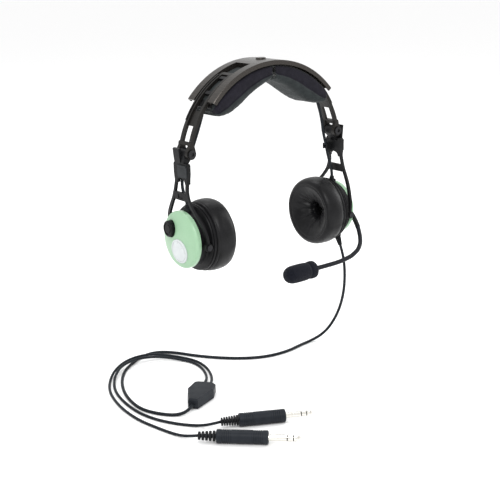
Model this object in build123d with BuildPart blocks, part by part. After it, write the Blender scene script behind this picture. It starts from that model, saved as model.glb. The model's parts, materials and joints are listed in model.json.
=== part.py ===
from build123d import *
from math import cos, pi, radians, sin, tan
import os

# Light on-ear aviation headset: a curved top plate with two head pads, two sliding arms,
# folding yokes, two ear cups, a boom microphone and a cable that splits to two plugs.
# Frame, in millimetres: the origin is half way between the ear cushions, on the line
# through the ears. +X is the wearer's left, -Y is the way the wearer faces, +Z is up.
# The headset is held up as on a head, and its cable comes down to a surface below it.

# ---- driving dimensions ---------------------------------------------------------------
# headband: plate, arms and carrier share one arc about a line along Y at this height
arc_z = 70.0
plate_r = 100.5
plate_t = 1.8
plate_half_w = 22.3
plate_end = 49.0         # degrees from the top
flange_t = 1.8
flange_depth = 4.5
slot_half_w = 11.5
slot_start = 12.8        # degrees
rib_t = 1.6
crown_shank_r = 2.2
carrier_r = 95.2
carrier_t = 2.0
carrier_end = 51.0
lead_slot_start = 43.0   # slot that the lead between the cups slides into
lead_slot_half_w = 1.9

# arms
arm_r = 99.2
arm_t = 3.0
arm_half_w = 10.2
arm_top = 24.6           # degrees
arm_end = 75.5
arm_slot_half_w = 5.6

# head pads
pad_top_r = 95.4
pad_half_w = 22.8
pad_split = 1.0          # degrees each side of the top
pad_end = 54.0

# fold hinge between arm and yoke
hinge_x = 95.5
hinge_z = 86.8
barrel_r = 5.5
hub_half_w = 5.6
pin_r = 1.6

# yoke
tilt_x = 94.4
tilt_z = -3.0
fork_t = 2.6
leg_w = 3.2
block_in = 98.6
block_out = 102.7
block_half_w = 12.0
hook_half_w = 5.2
clip_y = 6.8             # guide for the lead, on the block's inner side
clip_z = 68.5

# cup, from the cushion's face outwards along X
cushion_x = 60.5
cushion_r = 37.6
cushion_t = 24.7
cushion_hole_r = 9.0
flange_r = 34.2
shell_r = 27.4
shell_x = 99.2
cover_x = 99.6
cover_peak = 109.6
cover_y = 2.8
cover_z = -0.5
cover_ry = 30.2
cover_rz = 29.3
dome_r = 95.0
seat_y = 13.5            # knob on one cup, boom swivel on the other
seat_z = 10.0
seat_r = 9.1
seat_x = 106.2
lead_in_x = 96.3         # where the lead between the cups goes into the shell
knob_r = 8.4
badge_y = -1.0
badge_z = -10.8
badge_r = 12.5

# cables
floor_z = -155.0
main_d = 3.2
branch_d = 2.8
lead_d = 3.2
boom_d = 4.8
big_shaft_r = 3.175      # phone plug
small_shaft_r = 2.615    # microphone plug
plug_r = 6.4
plug_z = floor_z + plug_r
phones_plug_at = (-171.5, -115.0, plug_z)
phones_plug_heading = (0.725, -0.685)
mic_plug_at = (-139.0, -105.8, plug_z)
mic_plug_heading = (0.887, -0.461)
hump_z = floor_z + main_d + branch_d / 2 + 3.0
gland_length = 17.0
gland_plane = Plane(origin=(94.6, -8.7, -25.2), z_dir=(0.6, -2.0, -6.0))
split_half_t = 5.5
split_length = 44.0
split_z = floor_z + split_half_t
split_near = (-136.5, -56.0)      # narrow end, where the main cable goes in
split_dir = Vector(0.78, 0.625, 0)

os.makedirs("parts", exist_ok=True)


# ---- helpers --------------------------------------------------------------------------
def at(radius, angle):
    """Point (x, z) on the headband's arc, the angle counted from the top towards +X."""
    return (radius * sin(radians(angle)), arc_z + radius * cos(radians(angle)))


def sector(r_in, r_out, a0, a1, y):
    """Face between two radii and two angles of the arc, on the plane at y."""
    mid = (a0 + a1) / 2
    with BuildSketch(Plane.XZ.offset(-y), mode=Mode.PRIVATE) as face:
        with BuildLine():
            ThreePointArc(at(r_out, a0), at(r_out, mid), at(r_out, a1))
            Line(at(r_out, a1), at(r_in, a1))
            ThreePointArc(at(r_in, a1), at(r_in, mid), at(r_in, a0))
            Line(at(r_in, a0), at(r_out, a0))
        make_face()
    return face.sketch


def bore(x, z, radius, half_w):
    """Cut a round hole along Y through the active part."""
    with BuildSketch(Plane.XZ.offset(-half_w - 1), mode=Mode.PRIVATE) as hole:
        with Locations((x, z)):
            Circle(radius)
    extrude(hole.sketch, amount=2 * half_w + 2, mode=Mode.SUBTRACT)


def disc(x0, x1, radius):
    """Add a disc about the ear axis between two values of X to the active part."""
    with BuildSketch(Plane.YZ.offset(x0), mode=Mode.PRIVATE) as face:
        Circle(radius)
    extrude(face.sketch, amount=x1 - x0)


def save(piece, node):
    """Label a finished piece and write its file."""
    piece.label = node
    export_step(piece, f"parts/{node}.step")


def save_pair(piece, stem):
    """Write a piece for the wearer's left side and its mirror image for the right."""
    save(piece, f"{stem}_left")
    save(mirror(piece, about=Plane.YZ), f"{stem}_right")


def split_point(along, across, z):
    """Point in the splitter's own directions: along from the narrow end, and across."""
    x = split_near[0] + along * split_dir.X + across * split_dir.Y
    y = split_near[1] + along * split_dir.Y - across * split_dir.X
    return (x, y, z)


def cord_path(points, label):
    """Straight runs joined by arcs, each as large as its two runs allow."""
    radii = []
    for before, here, after in zip(points, points[1:], points[2:]):
        run_in = Vector(*here) - Vector(*before)
        run_out = Vector(*after) - Vector(*here)
        turn = radians(run_in.get_angle(run_out))
        radii.append(0.45 * min(run_in.length, run_out.length) / tan(turn / 2))
    print(label, "radii", " ".join(f"{r:.0f}" for r in radii))
    return FilletPolyline(*points, radius=radii)


def cord_tube(points, diameter, label):
    """A plain round cord along its route."""
    with BuildPart() as tube:
        with BuildLine() as route:
            cord_path(points, label)
        start = route.line @ 0
        heading = route.line % 0
        with BuildSketch(Plane(origin=start, z_dir=heading)):
            Circle(diameter / 2)
        sweep()
    length = sum(edge.length for edge in route.edges())
    ratio = tube.part.volume / (length * pi * diameter ** 2 / 4)
    print(f"{label}: length {length:.0f} mm, volume ratio {ratio:.3f}")
    return tube.part


# ---- headband -------------------------------------------------------------------------
def make_top_plate():
    """Curved plate with a long slot at each end, edge flanges and ribs beside the slots."""
    plate_in = plate_r - plate_t
    with BuildPart() as plate:
        extrude(sector(plate_in, plate_r, -plate_end, plate_end, plate_half_w), amount=2 * plate_half_w)
        for y in (plate_half_w, flange_t - plate_half_w):
            flange = sector(plate_r - flange_depth, plate_in, -plate_end, plate_end, y)
            extrude(flange, amount=flange_t)
        for side in (-1, 1):
            a0, a1 = sorted((side * slot_start, side * (plate_end + 5)))
            extrude(sector(plate_in - 3, plate_r + 3, a0, a1, slot_half_w), amount=2 * slot_half_w,
                    mode=Mode.SUBTRACT)
            a0, a1 = sorted((side * slot_start, side * plate_end))
            for y in (slot_half_w + rib_t, -slot_half_w):
                extrude(sector(carrier_r + 0.02, plate_in, a0, a1, y), amount=rib_t)
            a0, a1 = sorted((side * (slot_start - 1), side * slot_start))
            bar = sector(carrier_r + 0.02, plate_in, a0, a1, slot_half_w + rib_t)
            extrude(bar, amount=2 * (slot_half_w + rib_t))
        with BuildSketch(Plane.XY.offset(arc_z + plate_in - 3)):
            Circle(crown_shank_r)
        extrude(amount=8, mode=Mode.SUBTRACT)
        rim = (plate.edges().filter_by(GeomType.CIRCLE)
               .filter_by(lambda e: abs(e.radius - plate_r) < 0.01 and abs(e.center().Y) > plate_half_w - 0.1))
        chamfer(rim, length=0.6)
    save(plate.part, "top_plate")


def make_pad_carrier():
    """Channel under the plate that the arms run on and the pads are fixed to."""
    r_in = carrier_r - carrier_t
    with BuildPart() as carrier:
        half = slot_half_w + rib_t
        extrude(sector(r_in, carrier_r, -carrier_end, carrier_end, half), amount=2 * half)
        for side in (-1, 1):
            a0, a1 = sorted((side * lead_slot_start, side * (carrier_end + 2)))
            extrude(sector(r_in - 1, carrier_r + 1, a0, a1, lead_slot_half_w), amount=2 * lead_slot_half_w,
                    mode=Mode.SUBTRACT)
    save(carrier.part, "pad_carrier")


def make_slide_guides():
    """Two blocks in each arm's slot, which guide the arm and stop it."""
    with BuildPart() as guides:
        for side in (-1, 1):
            for start, end in ((28.2, 30.4), (41.0, 43.2)):
                a0, a1 = sorted((side * start, side * end))
                extrude(sector(carrier_r, arm_r - 0.6, a0, a1, 4.6), amount=9.2)
    save(guides.part, "slide_guides")


def make_crown_button():
    """Round button on top of the plate, whose shank holds plate and carrier together."""
    with BuildPart() as button:
        with BuildSketch(Plane.XY.offset(arc_z + carrier_r)):
            Circle(crown_shank_r)
        extrude(amount=plate_r - carrier_r)
        with BuildSketch(Plane.XY.offset(arc_z + plate_r)):
            Circle(5.2)
        extrude(amount=1.5)
        fillet(button.edges().group_by(Axis.Z)[-1], 0.9)
    save(button.part, "crown_button")


def make_head_pads():
    """Two thick pads, thin where they meet at the top and thickest a third of the way."""
    with BuildPart() as pad:
        with BuildSketch(Plane.XZ.offset(-pad_half_w)):
            with BuildLine():
                ThreePointArc(at(pad_top_r, pad_split), at(pad_top_r, 24), at(pad_top_r, 46))
                Spline(at(pad_top_r, 46), at(92.0, 52.0), at(85.0, pad_end), at(77.0, 50.0), at(72.0, 42.0),
                       at(70.5, 32.0), at(72.5, 20.0), at(77.0, 8.0), at(81.0, pad_split + 0.3))
                Line(at(81.0, pad_split + 0.3), at(pad_top_r, pad_split))
            make_face()
        extrude(amount=2 * pad_half_w)
        channel = slot_half_w + rib_t + 0.2
        r_in = carrier_r - carrier_t - 0.2
        extrude(sector(r_in, plate_r, -10, 60, channel), amount=2 * channel, mode=Mode.SUBTRACT)
        extrude(sector(r_in - 1, plate_r, lead_slot_start, 60, lead_slot_half_w), amount=2 * lead_slot_half_w,
                mode=Mode.SUBTRACT)
    save_pair(pad.part, "head_pad")


# ---- arms and fold hinge ----------------------------------------------------------------
def make_arm():
    """Curved hairpin: two rails, a slot between, a cross ridge and two hinge ears below."""
    arm_in = arm_r - arm_t
    with BuildPart() as arm:
        extrude(sector(arm_in, arm_r, arm_top, arm_end, arm_half_w), amount=2 * arm_half_w)
        extrude(sector(arm_in - 1, arm_r + 1, arm_top + 2.4, arm_end - 2.2, arm_slot_half_w),
                amount=2 * arm_slot_half_w, mode=Mode.SUBTRACT)
        extrude(sector(arm_in, arm_in + 1.2, 54.5, 64.0, arm_slot_half_w), amount=2 * arm_slot_half_w)
        extrude(sector(arm_r, arm_r + 1.3, arm_end - 2.0, arm_end, arm_half_w), amount=2 * arm_half_w)
        for side in (-1, 1):
            a0 = arm_end - 14
            y = arm_half_w if side > 0 else 1.6 - arm_half_w
            extrude(sector(arm_r, arm_r + 0.8, arm_top + 3, a0, y), amount=1.6)
        ear_t = arm_half_w - hub_half_w - 0.3
        for y in (arm_half_w, -hub_half_w - 0.3):
            with BuildSketch(Plane.XZ.offset(-y)) as ear:
                with Locations((hinge_x, hinge_z)):
                    Circle(barrel_r)
                with Locations(at(arm_r - arm_t / 2, arm_end - 1.6)):
                    Circle(arm_t / 2)
                make_hull()
            extrude(amount=ear_t)
        bore(hinge_x, hinge_z, pin_r + 0.05, arm_half_w)
        top_edges = (arm.edges().filter_by(GeomType.LINE)
                     .filter_by(lambda e: abs(e.length - arm_t) < 0.05 and e.center().Z > arc_z + 80))
        fillet(top_edges.filter_by(lambda e: abs(e.center().Y) > arm_half_w - 0.1), 3.0)
    save_pair(arm.part, "arm")


def make_fold_pin():
    """Hinge screw along Y with a socket head in front and a nut behind."""
    with BuildPart() as pin:
        with BuildSketch(Plane.XZ.offset(-arm_half_w)):
            with Locations((hinge_x, hinge_z)):
                Circle(pin_r)
        extrude(amount=2 * arm_half_w)
        with BuildSketch(Plane.XZ.offset(arm_half_w)):
            with Locations((hinge_x, hinge_z)):
                Circle(4.4)
        extrude(amount=1.5)
        with BuildSketch(Plane.XZ.offset(arm_half_w + 1.5)):
            with Locations((hinge_x, hinge_z)):
                RegularPolygon(2.0, 6)
        extrude(amount=-1.1, mode=Mode.SUBTRACT)
        with BuildSketch(Plane.XZ.offset(-arm_half_w)):
            with Locations((hinge_x, hinge_z)):
                RegularPolygon(3.6, 6)
        extrude(amount=-1.4)
    save_pair(pin.part, "fold_pin")


# ---- yoke ---------------------------------------------------------------------------------
def bent_band(offset):
    """Points (x, z) of the fork's side view, moved along X by an offset."""
    return [(94.4 + offset, -8.5), (94.4 + offset, -2.0), (95.1 + offset, 5.0), (96.0 + offset, 10.0),
            (97.0 + offset, 15.0), (98.3 + offset, 20.0), (99.7 + offset, 25.0), (101.0 + offset, 30.0),
            (102.0 + offset, 35.0), (102.6 + offset, 41.0), (102.6 + offset, 47.0), (102.1 + offset, 53.0),
            (101.2 + offset, 59.0), (100.3 + offset, 66.0)]


def yoke_part(hook_y):
    """Hinge hub, hook and wide block above, and a bowed fork whose two legs spread round the cup."""
    with BuildPart() as fork:
        with BuildSketch(Plane.YZ.offset(88)):
            with BuildLine():
                Spline((-30.9, -3.0), (-31.2, 5.0), (-30.4, 10.0), (-28.5, 15.0), (-26.0, 20.0), (-23.2, 25.0),
                       (-20.0, 30.0), (-16.8, 35.0), (-13.8, 40.0), (-11.4, 45.5), (-10.0, 51.0), (-9.4, 58.0),
                       (-9.4, 65.0))
            trace(line_width=leg_w)
            with BuildLine():
                Spline((30.9, -3.0), (32.9, 4.0), (33.6, 10.0), (32.6, 15.0), (30.0, 20.0), (26.4, 25.0),
                       (22.2, 30.0), (18.2, 35.0), (14.6, 40.0), (12.0, 45.5), (10.4, 51.0), (9.6, 58.0),
                       (9.4, 65.0))
            trace(line_width=leg_w)
            with Locations((0, 44.5)):
                Rectangle(22.0, 8.0)
        extrude(amount=24)
        with BuildSketch(Plane.XZ.offset(-40)):
            with BuildLine():
                Spline(*bent_band(fork_t / 2))
                Line(bent_band(fork_t / 2)[-1], bent_band(-fork_t / 2)[-1])
                Spline(*bent_band(-fork_t / 2))
                Line(bent_band(-fork_t / 2)[0], bent_band(fork_t / 2)[0])
            make_face()
        extrude(amount=80, mode=Mode.INTERSECT)
    with BuildPart() as yoke:
        add(fork.part)
        with BuildSketch(Plane.XZ.offset(-hub_half_w)) as hub:
            with Locations((hinge_x, hinge_z)):
                Circle(barrel_r - 0.2)
            with Locations(((block_in + block_out) / 2, 76.0)):
                Rectangle(block_out - block_in, 3)
            make_hull()
        extrude(amount=2 * hub_half_w)
        with BuildSketch(Plane.YZ.offset(block_in)):
            with BuildLine():
                Polyline((-block_half_w + 1.5, 78.0), (block_half_w - 1.5, 78.0), (block_half_w, 76.5),
                         (block_half_w, 68.0), (10.9, 60.5), (10.9, 57.5), (7.0, 57.5), (6.6, 59.5), (4.6, 61.8),
                         (0, 62.8), (-4.6, 61.8), (-6.6, 59.5), (-7.0, 57.5), (-10.9, 57.5), (-10.9, 60.5),
                         (-block_half_w, 68.0), (-block_half_w, 76.5), close=True)
            make_face()
        extrude(amount=block_out - block_in)
        with BuildSketch(Plane.XZ.offset(-hook_y - hook_half_w)):
            with BuildLine():
                Polyline((99.5, 74.0), (101.4, 79.0), (101.6, 92.4), (104.3, 92.0), (103.6, 84.0), (102.2, 74.0),
                         close=True)
            make_face()
        extrude(amount=2 * hook_half_w)
        with BuildSketch(Plane.XY.offset(clip_z - 3.5)):
            with Locations((96.6, clip_y)):
                Rectangle(9.0, 7.0)
        extrude(amount=6.0)
        with BuildSketch(Plane.XY.offset(clip_z - 4)):
            with Locations((93.9, clip_y)):
                Rectangle(6.0, 4.8)
        extrude(amount=8.0, mode=Mode.SUBTRACT)
        with BuildSketch(Plane.YZ.offset(103.3)):
            with Locations((0, 44.5)):
                Rectangle(9.0, 4.2)
        extrude(amount=2.0, mode=Mode.SUBTRACT)
        for side in (-1, 1):
            start = 28.4 if side > 0 else -33.3
            with BuildSketch(Plane.XZ.offset(-start - 4.9)):
                with Locations((tilt_x, tilt_z)):
                    Circle(4.0)
            extrude(amount=4.9)
        for side in (-1, 1):
            with BuildSketch(Plane.XZ.offset(-side * 33.3)):
                with Locations((tilt_x, tilt_z)):
                    Circle(3.4)
            extrude(amount=-side * 3, mode=Mode.SUBTRACT)
        bore(tilt_x, tilt_z, 1.55, 36)
        bore(hinge_x, hinge_z, pin_r + 0.05, 12)
    return yoke.part


def make_yokes():
    """The hook is towards the front on the wearer's left, and towards the back on the right."""
    save(yoke_part(-4.8), "yoke_left")
    save(mirror(yoke_part(4.8), about=Plane.YZ), "yoke_right")


def make_yoke_panel():
    """Raised panel on the block's outer face, with a lip along its top."""
    with BuildPart() as panel:
        with BuildSketch(Plane.YZ.offset(block_out + 0.02)):
            with Locations((-3.6, 70.2)):
                RectangleRounded(15.6, 12.4, 1.2)
        extrude(amount=0.9)
        with BuildSketch(Plane.YZ.offset(block_out + 0.02)):
            with Locations((-3.6, 75.2)):
                Rectangle(14.4, 1.8)
        extrude(amount=1.6)
    save_pair(panel.part, "yoke_panel")


def make_pivot_screws():
    """Two shoulder screws that hold the cup between the fork's legs."""
    with BuildPart() as screws:
        for side in (-1, 1):
            lead = 1 if side < 0 else -1
            with BuildSketch(Plane.XZ.offset(-side * 24.5)):
                with Locations((tilt_x, tilt_z)):
                    Circle(1.5)
            extrude(amount=lead * 8.8)
            with BuildSketch(Plane.XZ.offset(-side * 33.3)):
                with Locations((tilt_x, tilt_z)):
                    Circle(3.0)
            extrude(amount=lead * 1.3)
    save_pair(screws.part, "pivot_screws")


# ---- ear cups -------------------------------------------------------------------------------
def make_cushion():
    """Plain ring for the ear cushion."""
    with BuildPart() as cushion:
        disc(cushion_x, cushion_x + cushion_t, cushion_r)
        fillet(cushion.edges().group_by(Axis.X)[0], 9.0)
        fillet(cushion.edges().group_by(Axis.X)[-1], 3.0)
        with BuildSketch(Plane.YZ.offset(cushion_x - 1)):
            Circle(cushion_hole_r)
        extrude(amount=cushion_t + 2, mode=Mode.SUBTRACT)
        inner = cushion.edges().filter_by(GeomType.CIRCLE).group_by(Axis.X)[0]
        fillet(inner, 6.0)
    save_pair(cushion.part, "ear_cushion")


def make_baffle():
    """Plate between cushion and shell, with a grille of holes in front of the speaker."""
    x0 = cushion_x + cushion_t + 0.1
    with BuildPart() as baffle:
        disc(x0, x0 + 1.8, flange_r - 0.4)
        with BuildSketch(Plane.YZ.offset(x0)):
            Circle(0.9)
            for ring_r, count in ((3.4, 6), (6.8, 12)):
                with PolarLocations(ring_r, count):
                    Circle(0.9)
        extrude(amount=2, mode=Mode.SUBTRACT)
    save_pair(baffle.part, "baffle")


def make_speaker_cloth():
    """Thin cloth disc at the bottom of the cushion's hole."""
    x0 = cushion_x + cushion_t - 0.7
    with BuildPart() as cloth:
        disc(x0, x0 + 0.6, cushion_hole_r - 0.3)
    save_pair(cloth.part, "speaker_cloth")


def make_speaker():
    """Moving-coil receiver behind the baffle: frame, magnet and terminal board."""
    x0 = cushion_x + cushion_t + 2.0
    with BuildPart() as speaker:
        disc(x0, x0 + 2.2, 18.5)
        disc(x0 + 2.2, x0 + 4.0, 14.0)
        disc(x0 + 4.0, x0 + 7.0, 9.5)
    save_pair(speaker.part, "speaker")


def make_cup_shell():
    """Shell behind the baffle: stepped flange rings, waist for the yoke, open inside."""
    x0 = cushion_x + cushion_t + 2.0
    with BuildPart() as shell:
        with BuildSketch(Plane.XZ):
            with BuildLine():
                Polyline((x0, 19.2), (x0, flange_r), (x0 + 1.2, flange_r), (x0 + 1.4, flange_r - 0.9),
                         (x0 + 1.9, flange_r - 0.9), (x0 + 2.1, flange_r - 0.2), (x0 + 3.2, flange_r - 0.8),
                         (x0 + 4.2, shell_r + 1.2), (x0 + 5.4, shell_r), (shell_x, shell_r),
                         (shell_x, shell_r - 3.2), (shell_x - 2, shell_r - 3.2), (shell_x - 2, shell_r - 2),
                         (x0 + 5.0, shell_r - 2), (x0 + 2.4, 24.0), (x0 + 2.4, 19.2), close=True)
            make_face()
        revolve(axis=Axis.X)
        for side in (-1, 1):
            with BuildSketch(Plane.XZ.offset(-side * 22.6)):
                with Locations((tilt_x, tilt_z)):
                    Circle(3.6)
            extrude(amount=-side * 5.2)
        bore(tilt_x, tilt_z, 1.55, 36)
        with BuildSketch(Plane.XY.offset(24.0)):
            with Locations((lead_in_x, 0)):
                Circle(2.1)
        extrude(amount=6, mode=Mode.SUBTRACT)
        for side in (-1, 1):
            with BuildSketch(Plane.XZ.offset(-side * 28.1)):
                with Locations((tilt_x, tilt_z)):
                    Circle(4.9)
            extrude(amount=-side * 9, mode=Mode.SUBTRACT)
        for y, z in post_places:
            with BuildSketch(Plane.YZ.offset(x0)):
                with Locations((y, z)):
                    Circle(2.3)
            extrude(amount=1.4, mode=Mode.SUBTRACT)
            with BuildSketch(Plane.YZ.offset(x0)):
                with Locations((y, z)):
                    Circle(post_bore_r + 0.1)
            extrude(amount=3, mode=Mode.SUBTRACT)
    with BuildPart() as exit_hole:
        with BuildSketch(gland_plane.offset(-1)):
            Circle(3.0)
        extrude(amount=10)
    save(shell.part - exit_hole.part, "cup_shell_left")
    save(mirror(shell.part, about=Plane.YZ), "cup_shell_right")


def dome_normal(y, z):
    """Outward unit normal of the cover's dome over the point (y, z)."""
    dy = y - cover_y
    dz = z - cover_z
    return Vector((dome_r ** 2 - dy ** 2 - dz ** 2) ** 0.5, dy, dz) * (1 / dome_r)


def dome_point(y, z):
    """Point of the cover's dome over (y, z)."""
    normal = dome_normal(y, z)
    return Vector(cover_peak - dome_r + normal.X * dome_r, y, z)


post_bore_r = 1.2
post_places = [(21.2 * cos(radians(turn)), 21.2 * sin(radians(turn))) for turn in (100, 215, 325)]
post_foot = cushion_x + cushion_t + 4.4
badge_plane = Plane(origin=dome_point(badge_y, badge_z), x_dir=(0, 1, 0), z_dir=dome_normal(badge_y, badge_z))
seat_plane = Plane.YZ.offset(seat_x)


def make_cup_cover():
    """Domed cover with a round seat at the upper rear and a shallow seat for the badge."""
    with BuildPart() as cover:
        with BuildSketch(Plane.YZ.offset(cover_x)):
            with Locations((cover_y, cover_z)):
                Ellipse(cover_ry, cover_rz)
        extrude(amount=cover_peak - cover_x)
        with Locations((cover_peak - dome_r, cover_y, cover_z)):
            Sphere(dome_r, mode=Mode.INTERSECT)
        fillet(cover.edges().group_by(Axis.X)[-1], 3.2)
        with BuildSketch(Plane.YZ.offset(cover_x)):
            with Locations((cover_y, cover_z)):
                Ellipse(cover_ry - 2.2, cover_rz - 2.2)
        extrude(amount=2.8, mode=Mode.SUBTRACT)
        for y, z in post_places:
            with BuildSketch(Plane.YZ.offset(post_foot)):
                with Locations((y, z)):
                    Circle(2.7)
            extrude(amount=102.8 - post_foot)
            with BuildSketch(Plane.YZ.offset(post_foot)):
                with Locations((y, z)):
                    Circle(post_bore_r)
            extrude(amount=9.5, mode=Mode.SUBTRACT)
        with BuildSketch(seat_plane):
            with Locations((seat_y, seat_z)):
                Circle(seat_r)
        extrude(amount=6, mode=Mode.SUBTRACT)
        with BuildSketch(Plane.YZ.offset(cover_x)):
            with Locations((seat_y, seat_z)):
                Circle(3.1)
        extrude(amount=8, mode=Mode.SUBTRACT)
        with BuildSketch(badge_plane.offset(-1.0)):
            Circle(badge_r + 0.25)
        extrude(amount=4, mode=Mode.SUBTRACT)
    save_pair(cover.part, "cup_cover")


def make_badge():
    """Plain pearl disc with a raised rim."""
    with BuildPart() as badge:
        with BuildSketch(badge_plane.offset(-1.0)):
            Circle(badge_r)
        extrude(amount=1.6)
        chamfer(badge.edges().filter_by(GeomType.CIRCLE).sort_by(Axis.X)[-1], length=0.5)
        with BuildSketch(badge_plane.offset(0.6)):
            Circle(badge_r - 1.6)
            Circle(badge_r - 2.3, mode=Mode.SUBTRACT)
        extrude(amount=-0.4, mode=Mode.SUBTRACT)
    save_pair(badge.part, "badge")


def make_cup_screws():
    """Three screws that pull the cover's posts towards the shell."""
    with BuildPart() as screws:
        for y, z in post_places:
            with BuildSketch(Plane.YZ.offset(post_foot - 2.3)):
                with Locations((y, z)):
                    Circle(2.15)
            extrude(amount=1.3)
            with BuildSketch(Plane.YZ.offset(post_foot - 1.0)):
                with Locations((y, z)):
                    Circle(post_bore_r)
            extrude(amount=10.0)
    save_pair(screws.part, "cup_screws")


def make_lead_gland():
    """Moulded block and sleeve on top of the shell where the lead between the cups goes in."""
    with BuildPart() as gland:
        with BuildSketch(Plane.XY.offset(24.4)):
            with Locations((lead_in_x, 0)):
                Circle(2.0)
        extrude(amount=4.0)
        with BuildSketch(Plane.XY.offset(27.8)):
            with Locations((lead_in_x, 0)):
                RectangleRounded(5.6, 8.6, 1.6)
        extrude(amount=4.0)
        with BuildSketch(Plane.XY.offset(31.8)):
            with Locations((lead_in_x, 0)):
                Circle(2.7)
        extrude(amount=3.2, taper=6)
    save_pair(gland.part, "lead_gland")


# ---- controls ---------------------------------------------------------------------------------
def make_volume_knob():
    """Ribbed knob with a domed middle, on the wearer's right cup."""
    with BuildPart() as knob:
        with BuildSketch(Plane.YZ.offset(seat_x + 0.4)):
            with Locations((seat_y, seat_z)):
                Circle(knob_r)
        extrude(amount=6.0)
        fillet(knob.edges().group_by(Axis.X)[-1], 1.6)
        with BuildSketch(Plane.YZ.offset(seat_x + 5.7)):
            with Locations((seat_y, seat_z)):
                Circle(knob_r - 2.3)
                Circle(knob_r - 3.8, mode=Mode.SUBTRACT)
        extrude(amount=2, mode=Mode.SUBTRACT)
        with BuildSketch(Plane.YZ.offset(seat_x + 0.9)):
            with Locations((seat_y, seat_z)):
                with PolarLocations(knob_r + 0.3, 24):
                    Circle(0.5)
        extrude(amount=4.2, mode=Mode.SUBTRACT)
        with BuildSketch(Plane.YZ.offset(seat_x + 0.4)):
            with Locations((seat_y, seat_z)):
                Circle(2.0)
        extrude(amount=2.4, mode=Mode.SUBTRACT)
    save(mirror(knob.part, about=Plane.YZ), "volume_knob")


def make_potentiometer():
    """Round control under the knob, with its shaft."""
    with BuildPart() as pot:
        with BuildSketch(Plane.YZ.offset(97.2)):
            with Locations((seat_y, seat_z)):
                Circle(6.0)
        extrude(amount=5.2)
        with BuildSketch(Plane.YZ.offset(102.4)):
            with Locations((seat_y, seat_z)):
                Circle(3.0)
        extrude(amount=seat_x - 102.4 - 0.2)
        with BuildSketch(Plane.YZ.offset(seat_x - 0.2)):
            with Locations((seat_y, seat_z)):
                Circle(1.95)
        extrude(amount=2.9)
    save(mirror(pot.part, about=Plane.YZ), "potentiometer")


# ---- boom microphone ----------------------------------------------------------------------------
hub_r = 8.0
boom_arm_r = 2.7
muff_r = 9.5
boom_arm_route = [(114.2, 7.0, 6.5), (113.3, -11.0, -5.3), (110.8, -22.0, -13.0), (107.2, -30.6, -19.0)]
boom_route = [(107.2, -30.6, -19.0), (103.8, -37.4, -25.8), (97.2, -45.6, -31.8), (88.5, -51.4, -36.8),
              (76.0, -54.2, -41.2), (58.0, -55.6, -43.4), (40.0, -55.4, -43.9), (22.5, -55.4, -43.9)]


def make_boom_hub():
    """Swivel disc in the seat of the left cover, with its spigot."""
    with BuildPart() as hub:
        with BuildSketch(Plane.YZ.offset(seat_x + 0.4)):
            with Locations((seat_y, seat_z)):
                Circle(hub_r)
        extrude(amount=7.8)
        fillet(hub.edges().group_by(Axis.X)[-1], 1.6)
        with BuildSketch(Plane.YZ.offset(101.0)):
            with Locations((seat_y, seat_z)):
                Circle(3.05)
        extrude(amount=seat_x + 0.4 - 101.0)
    save(hub.part, "boom_hub")


def make_boom_arm():
    """Stiff curved arm from the swivel to the flexible boom."""
    with BuildPart() as arm:
        with BuildLine() as route:
            cord_path(boom_arm_route, "boom_arm")
        with BuildSketch(Plane(origin=route.line @ 0, z_dir=route.line % 0)):
            Circle(boom_arm_r)
        sweep()
    with BuildPart() as hub_space:
        with BuildSketch(Plane.YZ.offset(seat_x)):
            with Locations((seat_y, seat_z)):
                Circle(hub_r)
        extrude(amount=12)
    save(arm.part - hub_space.part, "boom_arm")


def make_boom_tube():
    save(cord_tube(boom_route, boom_d, "boom_tube"), "boom_tube")


def make_microphone():
    """Collar, capsule and foam muff, along X across the mouth."""
    end_x, mic_y, mic_z = boom_route[-1]
    with BuildPart() as collar:
        with BuildSketch(Plane.YZ.offset(end_x - 7.0)):
            with Locations((mic_y, mic_z)):
                Circle(5.6)
        extrude(amount=7.0)
        fillet(collar.edges().group_by(Axis.X)[-1], 1.6)
    save(collar.part, "mic_collar")
    with BuildPart() as capsule:
        with BuildSketch(Plane.YZ.offset(end_x - 30.0)):
            with Locations((mic_y, mic_z)):
                Circle(5.2)
        extrude(amount=23.0)
        fillet(capsule.edges().group_by(Axis.X)[0], 1.2)
    save(capsule.part, "mic_capsule")
    with BuildPart() as muff:
        with BuildSketch(Plane.YZ.offset(end_x - 40.0)):
            with Locations((mic_y, mic_z)):
                Circle(muff_r)
        extrude(amount=39.2)
        fillet(muff.edges().group_by(Axis.X)[0], 6.5)
        fillet(muff.edges().group_by(Axis.X)[-1], 3.0)
        with BuildSketch(Plane.YZ.offset(end_x - 30.0)):
            with Locations((mic_y, mic_z)):
                Circle(5.2)
        extrude(amount=23.0, mode=Mode.SUBTRACT)
        with BuildSketch(Plane.YZ.offset(end_x - 7.0)):
            with Locations((mic_y, mic_z)):
                Circle(5.7)
        extrude(amount=8.0, mode=Mode.SUBTRACT)
    save(muff.part, "mic_muff")


# ---- cables -----------------------------------------------------------------------------------------
def make_cable_gland():
    """Tapered strain relief at the bottom of the left cup."""
    with BuildPart() as gland:
        with BuildSketch(gland_plane):
            Circle(2.9)
        extrude(amount=5.5)
        with BuildSketch(gland_plane.offset(5.5)):
            Circle(4.0)
        extrude(amount=1.6)
        with BuildSketch(gland_plane.offset(7.1)):
            Circle(3.4)
        extrude(amount=gland_length - 7.1, taper=7)
    save(gland.part, "cable_gland")


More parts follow.
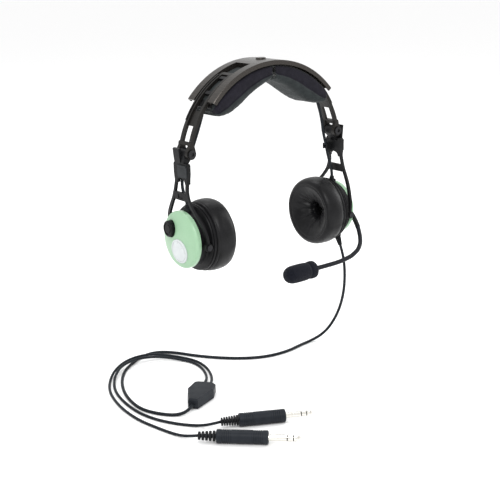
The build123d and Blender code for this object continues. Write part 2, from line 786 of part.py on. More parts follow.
main_z = floor_z + main_d / 2
branch_z = floor_z + branch_d / 2
main_route = [tuple(gland_plane.origin + gland_plane.z_dir * gland_length),
              tuple(gland_plane.origin + gland_plane.z_dir * 30.0),
              (96.6, -21.4, -71.0), (95.2, -22.0, -91.0), (92.6, -18.5, -112.0), (89.0, -11.0, -131.0),
              (82.5, -2.0, -146.5), (69.5, 3.5, main_z), (50.0, 1.0, main_z), (27.0, -4.0, main_z),
              (0.0, -1.5, main_z), (-24.0, 12.0, main_z), (-44.0, 32.0, main_z), (-60.0, 54.0, main_z),
              (-71.0, 75.0, main_z), (-85.0, 90.0, main_z), (-104.0, 91.0, main_z), (-124.0, 80.5, main_z),
              (-143.0, 65.5, main_z), (-158.0, 45.0, main_z), (-169.5, 21.0, main_z), (-176.0, -4.0, main_z),
              (-177.0, -26.0, main_z), (-169.5, -45.0, main_z), (-157.5, -59.5, main_z),
              (-145.5, -62.0, main_z + 2.2), (-136.5, -56.0, split_z)]
phones_route = [split_point(split_length, 3.4, split_z), (-89.0, -20.5, branch_z + 1.6), (-77.0, -4.0, branch_z),
                (-68.0, 18.0, branch_z), (-66.0, 40.0, branch_z), (-74.5, 60.0, branch_z + 0.4),
                (-91.0, 76.5, branch_z + 3.2), (-111.0, 80.5, hump_z), (-134.0, 78.0, hump_z),
                (-153.0, 69.0, branch_z + 3.0), (-168.0, 53.0, branch_z), (-179.5, 33.0, branch_z),
                (-186.5, 11.0, branch_z), (-191.0, -14.0, branch_z), (-191.5, -43.0, branch_z),
                (-186.5, -69.0, branch_z), (-181.0, -91.0, branch_z), (-176.5, -104.0, branch_z + 1.5),
                phones_plug_at]
mic_route = [split_point(split_length, -3.4, split_z), (-92.5, -15.0, branch_z + 1.6), (-81.0, -0.5, branch_z),
             (-72.8, 19.5, branch_z), (-71.2, 39.5, branch_z), (-79.0, 56.0, branch_z + 0.4),
             (-94.0, 70.5, branch_z + 3.0), (-118.0, 75.6, hump_z), (-142.0, 70.6, hump_z),
             (-159.0, 57.0, branch_z + 3.0), (-170.5, 39.5, branch_z), (-178.0, 19.0, branch_z),
             (-182.0, -4.0, branch_z), (-183.0, -29.0, branch_z), (-178.5, -52.0, branch_z),
             (-169.0, -72.0, branch_z), (-158.0, -87.0, branch_z), (-149.0, -98.5, branch_z + 1.8),
             mic_plug_at]
lead_upper_route = [(74.4, 0.0, 122.0), (78.9, 0.0, 110.0), (83.2, 1.4, 97.5), (86.6, 3.6, 86.0),
                    (90.8, 5.6, 76.0), (93.5, 6.6, 69.4)]
lead_lower_route = [(94.2, 6.85, 67.7), (96.5, 7.4, 59.0), (97.7, 5.4, 50.5), (97.3, 2.2, 43.8),
                    (96.7, 0.7, 39.4), (96.4, 0.1, 35.4)]


def make_cords():
    """The main cable, its two branches, and the lead between the cups, in four lengths."""
    save(cord_tube(main_route, main_d, "main_cable"), "main_cable")
    save(cord_tube(phones_route, branch_d, "branch_cable_phones"), "branch_cable_phones")
    save(cord_tube(mic_route, branch_d, "branch_cable_mic"), "branch_cable_mic")
    save_pair(cord_tube(lead_upper_route, lead_d, "lead_upper"), "lead_upper")
    save_pair(cord_tube(lead_lower_route, lead_d, "lead_lower"), "lead_lower")


def make_splitter():
    """Shield-shaped two-part housing where the cable divides."""
    for node, z0, rise in (("splitter_base", split_z, -1), ("splitter_lid", split_z, 1)):
        plane = Plane(origin=(split_near[0], split_near[1], z0), x_dir=(split_dir.X, split_dir.Y, 0),
                      z_dir=(0, 0, 1))
        with BuildPart() as half:
            with BuildSketch(plane):
                with BuildLine():
                    Polyline((0, 5.2), (4, 6.4), (27, 13.6), (41, 11.6), (split_length, 8.0),
                             (split_length, -8.0), (41, -11.6), (27, -13.6), (4, -6.4), (0, -5.2), close=True)
                make_face()
            extrude(amount=rise * split_half_t)
            outer = half.faces().sort_by(Axis.Z)[-1 if rise > 0 else 0]
            chamfer(outer.edges(), length=1.6)
        save(half.part, node)


def plug_plane(start, heading):
    """Plane across a plug's axis at its cable end."""
    return Plane(origin=start, z_dir=Vector(*heading, 0))


def make_plug(name, plane, relief_length, discs, body_length, shaft_r, shaft_length):
    """Moulded plug: ribbed relief, grooved body, and a metal sleeve, ring and tip."""
    with BuildPart() as relief:
        with BuildSketch(plane):
            Circle(1.9)
        extrude(amount=relief_length)
        pitch = relief_length / discs
        for i in range(discs):
            with BuildSketch(plane.offset(0.4 + i * pitch)):
                Circle(3.9 + 1.3 * i / discs)
            extrude(amount=pitch * 0.55)
    save(relief.part, f"plug_relief_{name}")
    body_plane = plane.offset(relief_length)
    with BuildPart() as body:
        with BuildSketch(body_plane):
            Circle(plug_r)
        extrude(amount=body_length)
        fillet(body.edges().filter_by(GeomType.CIRCLE), 1.4)
        for start, count in ((5.0, 5), (body_length - 14.0, 5)):
            for i in range(count):
                with BuildSketch(body_plane.offset(start + 2.0 * i)):
                    Circle(plug_r + 1)
                    Circle(plug_r - 0.55, mode=Mode.SUBTRACT)
                extrude(amount=0.9, mode=Mode.SUBTRACT)
    save(body.part, f"plug_body_{name}")
    metal_plane = body_plane.offset(body_length)
    ring_t = 0.9
    sleeve = shaft_length * 0.55
    ring = shaft_length * 0.16
    tip = shaft_length - sleeve - ring - 2 * ring_t
    with BuildPart() as shaft:
        with BuildSketch(metal_plane):
            Circle(shaft_r)
        extrude(amount=sleeve)
        with BuildSketch(metal_plane.offset(sleeve + ring_t)):
            Circle(shaft_r)
        extrude(amount=ring)
        with BuildSketch(Plane(origin=metal_plane.origin, x_dir=metal_plane.z_dir, z_dir=(0, 0, 1))):
            x0 = sleeve + ring + 2 * ring_t
            with BuildLine():
                Polyline((x0, 0), (x0, shaft_r), (x0 + tip * 0.28, shaft_r), (x0 + tip * 0.5, shaft_r * 0.66),
                         (x0 + tip * 0.72, shaft_r * 0.95), (x0 + tip * 0.95, shaft_r * 0.35), (x0 + tip, 0),
                         close=True)
            make_face()
        revolve(axis=Axis(metal_plane.origin, metal_plane.z_dir))
    save(shaft.part, f"plug_shaft_{name}")
    with BuildPart() as rings:
        for start in (sleeve, sleeve + ring_t + ring):
            with BuildSketch(metal_plane.offset(start)):
                Circle(shaft_r - 0.35)
            extrude(amount=ring_t)
    save(rings.part, f"plug_rings_{name}")


make_top_plate()
make_pad_carrier()
make_slide_guides()
make_crown_button()
make_head_pads()
make_arm()
make_fold_pin()
make_yokes()
make_yoke_panel()
make_pivot_screws()
make_cushion()
make_baffle()
make_speaker_cloth()
make_speaker()
make_cup_shell()
make_cup_cover()
make_badge()
make_cup_screws()
make_lead_gland()
make_volume_knob()
make_potentiometer()
make_boom_hub()
make_boom_arm()
make_boom_tube()
make_microphone()
make_cable_gland()
make_cords()
make_splitter()
make_plug("phones", plug_plane(phones_plug_at, phones_plug_heading), 17.0, 5, 48.0, big_shaft_r, 30.2)
make_plug("mic", plug_plane(mic_plug_at, mic_plug_heading), 17.0, 7, 45.0, small_shaft_r, 26.8)
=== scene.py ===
import json
import math
import random

import bpy
from mathutils import Matrix, Vector, noise


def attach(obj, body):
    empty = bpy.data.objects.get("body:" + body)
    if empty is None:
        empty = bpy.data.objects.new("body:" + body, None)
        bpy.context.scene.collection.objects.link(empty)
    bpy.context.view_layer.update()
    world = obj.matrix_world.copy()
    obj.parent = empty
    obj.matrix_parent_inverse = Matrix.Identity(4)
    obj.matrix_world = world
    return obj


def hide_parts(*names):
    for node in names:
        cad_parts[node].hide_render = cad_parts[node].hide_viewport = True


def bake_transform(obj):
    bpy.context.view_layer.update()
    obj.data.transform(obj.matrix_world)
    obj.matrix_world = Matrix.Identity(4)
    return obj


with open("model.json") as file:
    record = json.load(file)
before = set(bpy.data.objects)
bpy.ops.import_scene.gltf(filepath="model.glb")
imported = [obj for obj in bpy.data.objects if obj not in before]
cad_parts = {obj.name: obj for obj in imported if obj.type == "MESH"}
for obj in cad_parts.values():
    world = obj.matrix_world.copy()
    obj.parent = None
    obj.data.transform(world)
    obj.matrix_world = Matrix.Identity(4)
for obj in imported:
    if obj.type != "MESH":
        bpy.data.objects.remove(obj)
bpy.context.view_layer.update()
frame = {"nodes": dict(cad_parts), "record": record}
nodes = frame["nodes"]
scene = bpy.context.scene
scene.view_settings.view_transform = "Standard"

# Lengths below are in millimetres until MM turns them into metres.
MM = 0.001
SIDES = ("left", "right")
FLOOR_Z = -155.0
CAMERA_LENS = 72.0
CAMERA_PLACE = (-630.19, -807.0, 273.72)

# ---- camera ----------------------------------------------------------------------------------
cam_data = bpy.data.cameras.new("camera")
cam_data.sensor_width = 36.0
cam_data.lens = CAMERA_LENS
cam_data.clip_start = 0.01
camera = bpy.data.objects.new("camera", cam_data)
scene.collection.objects.link(camera)
cam_right = Vector((0.79301524, -0.60875717, -0.02327112))
cam_up = Vector((0.19139147, 0.21269263, 0.9581916))
cam_back = -Vector((0.57835641, 0.76431443, -0.28517943))
turn = Matrix((cam_right, cam_up, cam_back)).transposed().to_4x4()
camera.matrix_world = Matrix.Translation(Vector(CAMERA_PLACE) * MM) @ turn
scene.camera = camera


# ---- stage and light ---------------------------------------------------------------------------
def make_stage():
    half = 12.0
    mesh = bpy.data.meshes.new("floor")
    z = FLOOR_Z * MM - 0.0002
    corners = [(-half, -half, z), (half, -half, z), (half, half, z), (-half, half, z)]
    mesh.from_pydata(corners, [], [(0, 1, 2, 3)])
    floor = bpy.data.objects.new("floor", mesh)
    scene.collection.objects.link(floor)
    paper = bpy.data.materials.new("paper")
    paper.use_nodes = True
    shader = paper.node_tree.nodes["Principled BSDF"]
    shader.inputs["Base Color"].default_value = (0.97, 0.97, 0.97, 1.0)
    shader.inputs["Roughness"].default_value = 0.9
    shader.inputs["Specular IOR Level"].default_value = 0.1
    mesh.materials.append(paper)
    world = bpy.data.worlds.new("studio")
    world.use_nodes = True
    sky = world.node_tree.nodes["Background"]
    sky.inputs["Color"].default_value = (1.0, 1.0, 1.0, 1.0)
    sky.inputs["Strength"].default_value = 1.0
    scene.world = world


def area_light(name, place, target, size, power, tint=(1.0, 1.0, 1.0)):
    data = bpy.data.lights.new(name, "AREA")
    data.shape = "RECTANGLE"
    data.size, data.size_y = size
    data.energy = power
    data.color = tint
    lamp = bpy.data.objects.new(name, data)
    lamp.location = place
    lamp.rotation_euler = (Vector(target) - Vector(place)).to_track_quat("-Z", "Y").to_euler()
    scene.collection.objects.link(lamp)


make_stage()
area_light("key", (-0.9, -1.1, 1.3), (0.0, 0.0, 0.05), (0.8, 0.8), 17.0)
area_light("side", (1.5, -0.4, 0.7), (0.0, 0.0, 0.05), (0.7, 1.1), 9.0)
area_light("top", (0.1, 0.5, 1.5), (0.0, 0.0, 0.05), (1.2, 0.7), 10.0)


# ---- materials ---------------------------------------------------------------------------------
class Paint:
    """Builds one procedural material on object coordinates, which are in metres."""

    def __init__(self, name, rough=0.5, metallic=0.0, **fixed):
        self.material = bpy.data.materials.new(name)
        self.material.use_nodes = True
        self.tree = self.material.node_tree
        self.shader = self.tree.nodes["Principled BSDF"]
        self.coords = self.tree.nodes.new("ShaderNodeTexCoord").outputs["Object"]
        self.shader.inputs["Roughness"].default_value = rough
        self.shader.inputs["Metallic"].default_value = metallic
        for key, value in fixed.items():
            self.shader.inputs[key.replace("_", " ")].default_value = value
        self.normal = None

    def node(self, kind, **values):
        made = self.tree.nodes.new(kind)
        for key, value in values.items():
            if key in made.inputs:
                made.inputs[key].default_value = value
            else:
                setattr(made, key, value)
        return made

    def link(self, a, b):
        self.tree.links.new(a, b)

    def scaled(self, stretch):
        mapping = self.node("ShaderNodeMapping")
        mapping.inputs["Scale"].default_value = stretch
        self.link(self.coords, mapping.inputs["Vector"])
        return mapping.outputs["Vector"]

    def noise(self, scale, detail=3.0, stretch=None, rough=0.55):
        made = self.node("ShaderNodeTexNoise", Scale=scale, Detail=detail, Roughness=rough)
        self.link(self.coords if stretch is None else self.scaled(stretch), made.inputs["Vector"])
        return made.outputs["Fac"]

    def cells(self, scale, feature="DISTANCE_TO_EDGE", jitter=1.0):
        made = self.node("ShaderNodeTexVoronoi", Scale=scale, Randomness=jitter)
        made.feature = feature
        self.link(self.coords, made.inputs["Vector"])
        return made.outputs["Distance"]

    def ramp(self, value, stops):
        made = self.node("ShaderNodeValToRGB")
        band = made.color_ramp
        while len(band.elements) < len(stops):
            band.elements.new(0.5)
        for element, (place, colour) in zip(band.elements, stops):
            element.position = place
            element.color = (*colour, 1.0)
        self.link(value, made.inputs["Fac"])
        return made.outputs["Color"]

    def colour(self, value, low, high, span=(0.3, 0.7)):
        """Base colour that wanders between two tones."""
        self.link(self.ramp(value, [(span[0], low), (span[1], high)]), self.shader.inputs["Base Color"])
        return self

    def roughness(self, value, low, high):
        made = self.node("ShaderNodeMapRange")
        made.inputs["From Min"].default_value = 0.3
        made.inputs["From Max"].default_value = 0.7
        made.inputs["To Min"].default_value = low
        made.inputs["To Max"].default_value = high
        self.link(value, made.inputs["Value"])
        self.link(made.outputs["Result"], self.shader.inputs["Roughness"])
        return self

    def bump(self, value, distance, strength=1.0):
        """Adds relief; distance is in metres."""
        made = self.node("ShaderNodeBump", Strength=strength, Distance=distance)
        self.link(value, made.inputs["Height"])
        if self.normal is not None:
            self.link(self.normal, made.inputs["Normal"])
        self.normal = made.outputs["Normal"]
        self.link(self.normal, self.shader.inputs["Normal"])
        return self


def plastic(name, dark, light, rough, grain=0.00002, coat=0.0, gloss=0.12):
    paint = Paint(name, rough=rough, Coat_Weight=coat, Coat_Roughness=0.15, Specular_IOR_Level=gloss)
    paint.colour(paint.noise(60.0), dark, light)
    paint.roughness(paint.noise(140.0), rough - 0.05, rough + 0.06)
    paint.bump(paint.noise(2600.0, 2.0), grain)
    return paint.material


def leather(name, dark, light, rough):
    paint = Paint(name, rough=rough, Coat_Weight=0.03, Coat_Roughness=0.25, Specular_IOR_Level=0.16)
    paint.colour(paint.noise(90.0), dark, light)
    paint.roughness(paint.noise(260.0), rough - 0.06, rough + 0.08)
    paint.bump(paint.cells(1100.0), 0.00012, 0.55)
    paint.bump(paint.noise(420.0, 4.0), 0.00022, 0.4)
    return paint.material


def suede(name, dark, light):
    paint = Paint(name, rough=0.9, Sheen_Weight=0.12, Sheen_Roughness=0.4, Specular_IOR_Level=0.15)
    paint.colour(paint.noise(160.0, 6.0), dark, light)
    paint.bump(paint.noise(2400.0, 4.0), 0.00022, 0.8)
    paint.bump(paint.noise(300.0, 3.0), 0.0003, 0.35)
    return paint.material


def foam(name, dark, light):
    paint = Paint(name, rough=0.95, Sheen_Weight=0.04, Specular_IOR_Level=0.15)
    # Painted shade in the pores: the base colour darkens from the cell centres to the cell edges, where the
    # bump below sinks the foam, so the dark pores are painted shade, not the foam's own colour.
    paint.colour(paint.cells(1500.0, "F1"), light, dark, (0.1, 0.6))
    paint.bump(paint.cells(1500.0, "F1"), -0.0006, 0.9)
    paint.bump(paint.noise(500.0, 3.0), 0.0005, 0.5)
    return paint.material


def metal(name, dark, light, rough, stretch, metallic=1.0, grain=0.00001):
    paint = Paint(name, rough=rough, metallic=metallic, Specular_IOR_Level=0.2)
    fine = paint.noise(900.0, 3.0, stretch)
    paint.colour(fine, dark, light)
    paint.roughness(fine, rough - 0.06, rough + 0.08)
    paint.bump(fine, grain, 0.5)
    return paint.material


def knit(name, tone):
    paint = Paint(name, rough=0.85, Specular_IOR_Level=0.1)
    # Painted shade in the mesh openings: the colour goes from the cloth's tone at the cell centres to black
    # at the cell edges, where the bump below sinks the holes.
    paint.colour(paint.cells(1400.0, "F1", 0.1), tone, (0.0, 0.0, 0.0), (0.2, 0.6))
    paint.bump(paint.cells(1400.0, "F1", 0.1), -0.0004)
    return paint.material


MATERIALS = {
    "band_metal": metal("band_metal", (0.042, 0.038, 0.035), (0.062, 0.056, 0.051),
                        0.28, (1.0, 0.05, 1.0), 0.75),
    "dark_metal": metal("dark_metal", (0.010, 0.010, 0.011), (0.018, 0.018, 0.019), 0.5, (1.0, 1.0, 1.0),
                        0.3),
    "arm_metal": metal("arm_metal", (0.010, 0.009, 0.0085), (0.018, 0.0165, 0.015),
                       0.36, (1.0, 0.1, 1.0), 0.3),
    "black_plastic": plastic("black_plastic", (0.004, 0.004, 0.0045), (0.007, 0.007, 0.008), 0.40),
    "yoke_plastic": plastic("yoke_plastic", (0.006, 0.006, 0.0065), (0.010, 0.010, 0.011), 0.40),
    "panel_plastic": plastic("panel_plastic", (0.018, 0.020, 0.022), (0.028, 0.030, 0.033), 0.42),
    "sage_plastic": plastic("sage_plastic", (0.255, 0.430, 0.270), (0.280, 0.460, 0.295),
                            0.36, 0.00001, 0.2, 0.5),
    "pearl_plastic": plastic("pearl_plastic", (0.50, 0.53, 0.54), (0.60, 0.63, 0.63),
                             0.30, 0.000005, 0.3, 0.5),
    "knob_plastic": plastic("knob_plastic", (0.003, 0.003, 0.0035), (0.006, 0.006, 0.007), 0.34),
    "slate_plastic": plastic("slate_plastic", (0.011, 0.013, 0.017), (0.017, 0.020, 0.025), 0.42),
    "soft_rubber": plastic("soft_rubber", (0.006, 0.0065, 0.008), (0.011, 0.012, 0.014), 0.5, 0.00003),
    "cable_jacket": plastic("cable_jacket", (0.008, 0.010, 0.013), (0.013, 0.016, 0.020), 0.42, 0.00002),
    "boom_sleeve": plastic("boom_sleeve", (0.006, 0.0065, 0.009), (0.011, 0.012, 0.016), 0.45, 0.00002),
    "leatherette": leather("leatherette", (0.004, 0.004, 0.0045), (0.008, 0.008, 0.009), 0.36),
    "pad_fabric": suede("pad_fabric", (0.014, 0.017, 0.018), (0.026, 0.031, 0.032)),
    "mesh_cloth": knit("mesh_cloth", (0.008, 0.008, 0.008)),
    "foam": foam("foam", (0.003, 0.0035, 0.007), (0.011, 0.013, 0.022)),
    "screw_steel": metal("screw_steel", (0.022, 0.022, 0.024), (0.040, 0.040, 0.042),
                         0.34, (1.0, 1.0, 1.0)),
    "nickel": metal("nickel", (0.68, 0.66, 0.62), (0.78, 0.76, 0.71), 0.2, (1.0, 1.0, 0.1)),
}
SIDE_STRIP = suede("pad_side_strip", (0.006, 0.0055, 0.009), (0.011, 0.010, 0.016))

slot_of = {s["node"]: s["material_slot"] for s in frame["record"]["subparts"]}
for name, obj in nodes.items():
    obj.data.materials.clear()
    obj.data.materials.append(MATERIALS[slot_of[name]])


# ---- cords ---------------------------------------------------------------------------------------
MAIN_D = 3.2
BRANCH_D = 2.8
LEAD_D = 3.2
main_z = FLOOR_Z + MAIN_D / 2
branch_z = FLOOR_Z + BRANCH_D / 2
split_z = FLOOR_Z + 5.5
plug_z = FLOOR_Z + 6.4
hump_z = FLOOR_Z + 7.6
MAIN_ROUTE = [
    (96.205, -14.052, -41.255), (97.433, -18.144, -53.533), (96.6, -21.4, -71.0), (95.2, -22.0, -91.0),
    (92.6, -18.5, -112.0), (89.0, -11.0, -131.0), (82.5, -2.0, -146.5), (69.5, 3.5, main_z),
    (50.0, 1.0, main_z), (27.0, -4.0, main_z), (0.0, -1.5, main_z), (-24.0, 12.0, main_z),
    (-44.0, 32.0, main_z), (-60.0, 54.0, main_z), (-71.0, 75.0, main_z), (-85.0, 90.0, main_z),
    (-104.0, 91.0, main_z), (-124.0, 80.5, main_z), (-143.0, 65.5, main_z), (-158.0, 45.0, main_z),
    (-169.5, 21.0, main_z), (-176.0, -4.0, main_z), (-177.0, -26.0, main_z), (-169.5, -45.0, main_z),
    (-157.5, -59.5, main_z), (-145.5, -62.0, main_z + 2.2), (-136.5, -56.0, split_z),
]
PHONES_ROUTE = [
    (-100.055, -31.152, split_z), (-89.0, -20.5, branch_z + 1.6), (-77.0, -4.0, branch_z),
    (-68.0, 18.0, branch_z), (-66.0, 40.0, branch_z), (-74.5, 60.0, branch_z + 0.4),
    (-91.0, 76.5, branch_z + 3.2), (-111.0, 80.5, hump_z), (-134.0, 78.0, hump_z),
    (-153.0, 69.0, branch_z + 3.0), (-168.0, 53.0, branch_z), (-179.5, 33.0, branch_z),
    (-186.5, 11.0, branch_z), (-191.0, -14.0, branch_z), (-191.5, -43.0, branch_z),
    (-186.5, -69.0, branch_z), (-181.0, -91.0, branch_z), (-176.5, -104.0, branch_z + 1.5),
    (-171.5, -115.0, plug_z),
]
MIC_ROUTE = [
    (-104.305, -25.848, split_z), (-92.5, -15.0, branch_z + 1.6), (-81.0, -0.5, branch_z),
    (-72.8, 19.5, branch_z), (-71.2, 39.5, branch_z), (-79.0, 56.0, branch_z + 0.4),
    (-94.0, 70.5, branch_z + 3.0), (-118.0, 75.6, hump_z), (-142.0, 70.6, hump_z),
    (-159.0, 57.0, branch_z + 3.0), (-170.5, 39.5, branch_z), (-178.0, 19.0, branch_z),
    (-182.0, -4.0, branch_z), (-183.0, -29.0, branch_z), (-178.5, -52.0, branch_z),
    (-169.0, -72.0, branch_z), (-158.0, -87.0, branch_z), (-149.0, -98.5, branch_z + 1.8),
    (-139.0, -105.8, plug_z),
]
LEAD_UPPER_ROUTE = [
    (74.4, 0.0, 122.0), (78.9, 0.0, 110.0), (83.2, 1.4, 97.5), (86.6, 3.6, 86.0), (90.8, 5.6, 76.0),
    (93.5, 6.6, 69.4),
]
LEAD_LOWER_ROUTE = [
    (94.2, 6.85, 67.7), (96.5, 7.4, 59.0), (97.7, 5.4, 50.5), (97.3, 2.2, 43.8), (96.7, 0.7, 39.4),
    (96.4, 0.1, 35.4),
]


def nurbs(name, route, diameter):
    """Smooth round cord whose control points are the route's points."""
    curve = bpy.data.curves.new(name, "CURVE")
    curve.dimensions = "3D"
    curve.resolution_u = 12
    spline = curve.splines.new("NURBS")
    spline.points.add(len(route) - 1)
    for point, place in zip(spline.points, route):
        point.co = (*(Vector(place) * MM), 1.0)
    spline.order_u = 3
    spline.use_endpoint_u = True
    curve.bevel_depth = diameter / 2 * MM
    curve.bevel_resolution = 6
    curve.use_fill_caps = True
    made = bpy.data.objects.new(name, curve)
    scene.collection.objects.link(made)
    return made


def length_of(points):
    return sum((b - a).length for a, b in zip(points, points[1:]))


def centreline(route):
    """Points of the route's own NURBS spline, in metres."""
    bare = nurbs("bare", route, 0.0)
    mesh = bpy.data.meshes.new_from_object(bare)
    points = [v.co.copy() for v in mesh.vertices]
    bpy.data.objects.remove(bare)
    bpy.data.meshes.remove(mesh)
    return points


def make_free_cord(name, route, diameter):
    made = nurbs(name + "_run", route, diameter)
    made.data.materials.append(MATERIALS["cable_jacket"])
    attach(made, "cup_left")
    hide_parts(name)
    length_of(centreline(route))


make_free_cord("main_cable", MAIN_ROUTE, MAIN_D)
for name, route in (("phones", PHONES_ROUTE), ("mic", MIC_ROUTE)):
    make_free_cord("branch_cable_" + name, route, BRANCH_D)


def mesh_object(name, verts, faces, material, smooth=True):
    mesh = bpy.data.meshes.new(name)
    mesh.from_pydata([tuple(v) for v in verts], [], faces)
    mesh.materials.append(material)
    mesh.polygons.foreach_set("use_smooth", [smooth] * len(mesh.polygons))
    mesh.update()
    made = bpy.data.objects.new(name, mesh)
    scene.collection.objects.link(made)
    return made


def tube(name, path, radius, material, around=12, closed=False):
    """Round tube along points in metres."""
    path = [Vector(p) for p in path]
    count = len(path)
    verts, faces = [], []
    side = None
    for i, here in enumerate(path):
        before = path[i - 1] if (i or closed) else here
        after = path[(i + 1) % count] if (i < count - 1 or closed) else here
        ahead = (after - before).normalized()
        if side is None:
            side = ahead.orthogonal().normalized()
        side = (side - ahead * side.dot(ahead)).normalized()
        other = ahead.cross(side)
        for k in range(around):
            a = 2 * math.pi * k / around
            verts.append(here + (side * math.cos(a) + other * math.sin(a)) * radius)
    loops = count if closed else count - 1
    for i in range(loops):
        j = (i + 1) % count
        for k in range(around):
            m = (k + 1) % around
            faces.append((i * around + k, i * around + m, j * around + m, j * around + k))
    if not closed:
        faces.append(tuple(range(around))[::-1])
        faces.append(tuple(range((count - 1) * around, count * around)))
    return mesh_object(name, verts, faces, material)


def mirrored(points, side):
    return [Vector((-p[0] if side == "right" else p[0], p[1], p[2])) for p in points]


def make_leads():
    for side in SIDES:
        for part, route, bodies, start, end in (
            ("lead_upper", LEAD_UPPER_ROUTE, ("arm", "yoke"), (83.2, 1.4, 97.5), (92.0, 6.1, 73.0)),
            ("lead_lower", LEAD_LOWER_ROUTE, ("yoke", "cup"), (97.1, 6.4, 55.0), (96.5, 0.3, 37.0)),
        ):
            path = mirrored(centreline(route), side)
            made = tube(f"{part}_{side}_run", path, LEAD_D / 2 * MM, MATERIALS["cable_jacket"])
            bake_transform(made)
            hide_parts(f"{part}_{side}")


make_leads()


# ---- head pads -------------------------------------------------------------------------------------
ARC_Z = 70.0


def arc_point(radius, angle):
    a = math.radians(angle)
    return Vector((radius * math.sin(a), 0.0, ARC_Z + radius * math.cos(a)))


# stations from the split to the pad's end: angle in degrees and radius, of the top and then of the underside
PAD_STATIONS = [
    ((1.2, 94.9), (1.5, 82.0)), ((2.2, 95.2), (2.6, 80.2)), ((5.0, 95.3), (5.6, 78.6)),
    ((9.0, 95.3), (10.0, 76.8)), ((14.0, 95.3), (15.5, 74.9)), ((19.0, 95.3), (21.0, 73.2)),
    ((24.0, 95.3), (26.5, 71.9)), ((29.0, 95.3), (32.0, 71.2)), ((34.0, 95.3), (37.2, 71.4)),
    ((38.5, 95.3), (42.0, 72.7)), ((42.5, 95.3), (46.2, 75.2)), ((46.0, 95.2), (49.6, 78.4)),
    ((48.8, 94.6), (51.9, 82.0)), ((50.7, 93.2), (53.0, 85.4)), ((51.9, 91.4), (53.4, 87.4)),
]
PAD_HALF_W = 22.4


SEAM_DEPTH = 0.56        # where the side strip meets the underside's suede


def pad_section(k, around):
    """Rounded box section: share of the half width, and depth from 0 at the top to 1 at the underside."""
    a = 2 * math.pi * k / around
    c, s = math.cos(a), math.sin(a)
    flat = 0.30 if s > 0 else 0.66
    y = math.copysign(abs(c) ** (0.30 if s > 0 else 0.42), c)
    d = math.copysign(abs(s) ** flat, s)
    return y, 0.5 - 0.5 * d


def pad_stations(fine):
    out = []
    for (t0, b0), (t1, b1) in zip(PAD_STATIONS, PAD_STATIONS[1:]):
        for i in range(fine):
            f = i / fine
            out.append((tuple(a + (b - a) * f for a, b in zip(t0, t1)),
                        tuple(a + (b - a) * f for a, b in zip(b0, b1))))
    out.append(PAD_STATIONS[-1])
    return out


def pad_point(station, along, y, d):
    """Point of the pad's skin, in millimetres, for a share of the half width and of the depth."""
    top, bottom = station
    p_top, p_bottom = arc_point(top[1], top[0]), arc_point(bottom[1], bottom[0])
    narrow = 1.0 - 0.35 * max(0.0, (along - 0.86) / 0.14) ** 2 - 0.02 * max(0.0, 1 - along / 0.05) ** 2
    point = p_top.lerp(p_bottom, d)
    crease = 0.0
    if d > 0.45:
        crease = 0.5 * noise.noise(Vector((along * 9.0, y * 2.2, 3.1)))
    point = point + (p_top - p_bottom).normalized() * crease
    groove = 0.045 * math.exp(-((d - SEAM_DEPTH) / 0.022) ** 2)
    swell = 0.022 * math.exp(-((d - SEAM_DEPTH - 0.13) / 0.09) ** 2)
    hollow = 0.030 * math.exp(-((d - 0.28) / 0.20) ** 2)
    pucker = 0.008 * noise.noise(Vector((along * 26.0, d * 3.0, y * 1.3)))
    point.y = y * PAD_HALF_W * min(narrow * (0.985 - groove + swell - hollow + pucker), 1.0)
    return point


def make_pad(side):
    around, fine = 160, 8
    stations = pad_stations(fine)
    verts, faces, strip = [], [], []
    count = len(stations)
    section = [pad_section(k, around) for k in range(around)]
    for i, station in enumerate(stations):
        for y, d in section:
            verts.append(pad_point(station, i / (count - 1), y, d) * MM)
    for i in range(count - 1):
        for k in range(around):
            m = (k + 1) % around
            faces.append((i * around + k, (i + 1) * around + k, (i + 1) * around + m, i * around + m))
            y, d = section[k]
            strip.append(abs(y) > 0.8 and d < SEAM_DEPTH)
    for ring, rise in ((0, False), (count - 1, True)):
        base = ring * around
        centre = sum((verts[base + k] for k in range(around)), Vector()) / around
        verts.append(centre)
        hub = len(verts) - 1
        for k in range(around):
            m = (k + 1) % around
            faces.append((base + k, base + m, hub) if rise else (base + m, base + k, hub))
    if side == "right":
        verts = mirrored(verts, side)
        faces = [f[::-1] for f in faces]
    pad = mesh_object(f"head_pad_{side}_soft", verts, faces, MATERIALS["pad_fabric"])
    pad.data.materials.append(SIDE_STRIP)
    for polygon, on in zip(pad.data.polygons, strip):
        if on:
            polygon.material_index = 1
    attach(pad, "headband")
    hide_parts(f"head_pad_{side}")
    return pad


for side in SIDES:
    make_pad(side)


# ---- ear cushions ------------------------------------------------------------------------------------
FACE_X = 60.5
# distance from the ear axis, and depth behind the face, from the bottom of the hole to the back edge
CUSHION_PROFILE = [
    (8.2, 23.0), (8.2, 20.0), (8.3, 17.0), (8.9, 14.0), (10.2, 11.4), (12.8, 9.0), (16.2, 6.8),
    (19.8, 4.8), (23.4, 3.0), (26.8, 1.5), (29.6, 0.6), (31.8, 0.5), (33.8, 1.4), (35.4, 3.4),
    (36.4, 6.4), (36.9, 10.2), (37.0, 15.0), (36.6, 18.2), (35.7, 20.6), (34.9, 21.8), (34.9, 22.4),
    (35.5, 22.9), (35.3, 23.7), (34.3, 24.3),
]
SEAM_RADII = (28.6, 30.0)


def smooth_profile(points, fine):
    """Catmull-Rom through the points."""
    out = []
    for i in range(len(points) - 1):
        p0, p1 = points[max(i - 1, 0)], points[i]
        p2, p3 = points[i + 1], points[min(i + 2, len(points) - 1)]
        for j in range(fine):
            t = j / fine
            out.append(tuple(0.5 * (2 * b + (c - a) * t + (2 * a - 5 * b + 4 * c - d) * t * t
                                    + (3 * b - a - 3 * c + d) * t ** 3)
                             for a, b, c, d in zip(p0, p1, p2, p3)))
    out.append(points[-1])
    return out


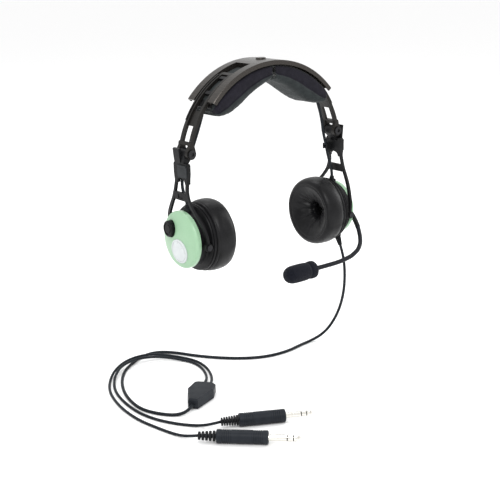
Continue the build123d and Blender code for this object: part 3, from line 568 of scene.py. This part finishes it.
def fold_set(seed, count, low, high):
    """Random folds: centre, half width, strength and drift of each."""
    rng = random.Random(seed)
    return [(rng.uniform(0, 2 * math.pi), rng.uniform(low, high), rng.uniform(0.45, 1.2),
             rng.uniform(-0.012, 0.012)) for _ in range(count)]


def wrap(angle):
    return (angle + math.pi) % (2 * math.pi) - math.pi


def wrinkle(theta, radius, depth, folds, outer_folds):
    """Pleats that run out from the hole over the sloping face, and shallow ones on the outer wall."""
    total = 0.0
    if radius < 29 and depth < 17:
        rise = math.exp(-((radius - 13.5) / 6.6) ** 2)
        for centre, width, strength, drift in folds:
            gap = wrap(theta - centre - drift * (radius - 10))
            total -= 1.1 * strength * rise * math.exp(-(gap / width) ** 2)
    if radius > 31:
        band = math.exp(-((depth - 15.0) / 6.0) ** 2)
        for centre, width, strength, drift in outer_folds:
            gap = wrap(theta - centre - drift * depth)
            total -= 0.35 * strength * band * math.exp(-(gap / width) ** 2)
    return total


def make_ear_cushion(side):
    around = 300
    profile = smooth_profile(CUSHION_PROFILE, 6)
    seed = 11 if side == "left" else 23
    folds, outer_folds = fold_set(seed, 18, 0.07, 0.14), fold_set(seed + 1, 7, 0.08, 0.2)
    verts, faces = [], []
    for i, (radius, depth) in enumerate(profile):
        before, after = profile[max(i - 1, 0)], profile[min(i + 1, len(profile) - 1)]
        run = Vector((after[0] - before[0], after[1] - before[1])).normalized()
        out_r, out_d = run.y, -run.x
        seam = 0.0
        if depth < 5:
            seam = sum(0.7 * math.exp(-((radius - r) / 0.32) ** 2) for r in SEAM_RADII)
        for k in range(around):
            theta = 2 * math.pi * k / around
            push = wrinkle(theta, radius, depth, folds, outer_folds) - seam
            spot = Vector((math.cos(theta) * 2.2, math.sin(theta) * 2.2, depth * 0.12 + seed))
            push += 0.3 * noise.noise(spot)
            r = min(radius + out_r * push, 37.4)
            d = min(max(depth + out_d * push, 0.05), 24.6)
            verts.append(Vector((FACE_X + d, r * math.cos(theta), r * math.sin(theta))) * MM)
    rings = len(profile)
    for i in range(rings - 1):
        for k in range(around):
            m = (k + 1) % around
            faces.append((i * around + k, (i + 1) * around + k, (i + 1) * around + m, i * around + m))
    for k in range(around):
        m = (k + 1) % around
        faces.append(((rings - 1) * around + k, k, m, (rings - 1) * around + m))
    if side == "right":
        verts = mirrored(verts, side)
        faces = [f[::-1] for f in faces]
    cushion = mesh_object(f"ear_cushion_{side}_soft", verts, faces, MATERIALS["leatherette"])
    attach(cushion, f"cup_{side}")
    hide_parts(f"ear_cushion_{side}")
    return cushion


for side in SIDES:
    make_ear_cushion(side)


# ---- microphone muff -------------------------------------------------------------------------------------
MIC_Y, MIC_Z = -55.4, -43.9
MUFF_PROFILE = [
    (21.6, 6.0), (21.5, 7.6), (20.4, 8.8), (18.0, 9.3), (15.2, 9.2), (13.6, 8.8), (12.6, 8.3),
    (11.6, 8.6), (9.6, 9.1), (4.0, 9.4), (-3.0, 9.4), (-8.0, 9.2), (-11.5, 8.5), (-14.4, 7.0),
    (-16.2, 5.0), (-17.2, 2.6), (-17.5, 0.4),
]


def make_muff():
    around = 96
    profile = smooth_profile(MUFF_PROFILE, 4)
    verts, faces = [], []
    for x, radius in profile:
        for k in range(around):
            a = 2 * math.pi * k / around
            p = Vector((x, radius * math.cos(a), radius * math.sin(a)))
            r = radius + min(0.0, 0.22 * noise.noise(p * 0.55)) + min(0.0, 0.16 * noise.noise(p * 1.7))
            verts.append(Vector((x, MIC_Y + r * math.cos(a), MIC_Z + r * math.sin(a))) * MM)
    for i in range(len(profile) - 1):
        for k in range(around):
            m = (k + 1) % around
            faces.append((i * around + k, i * around + m, (i + 1) * around + m, (i + 1) * around + k))
    faces.append(tuple(range((len(profile) - 1) * around, len(profile) * around)))
    faces.append(tuple(range(around))[::-1])
    muff = mesh_object("mic_muff_soft", verts, faces, MATERIALS["foam"])
    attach(muff, "boom")
    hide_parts("mic_muff")


make_muff()
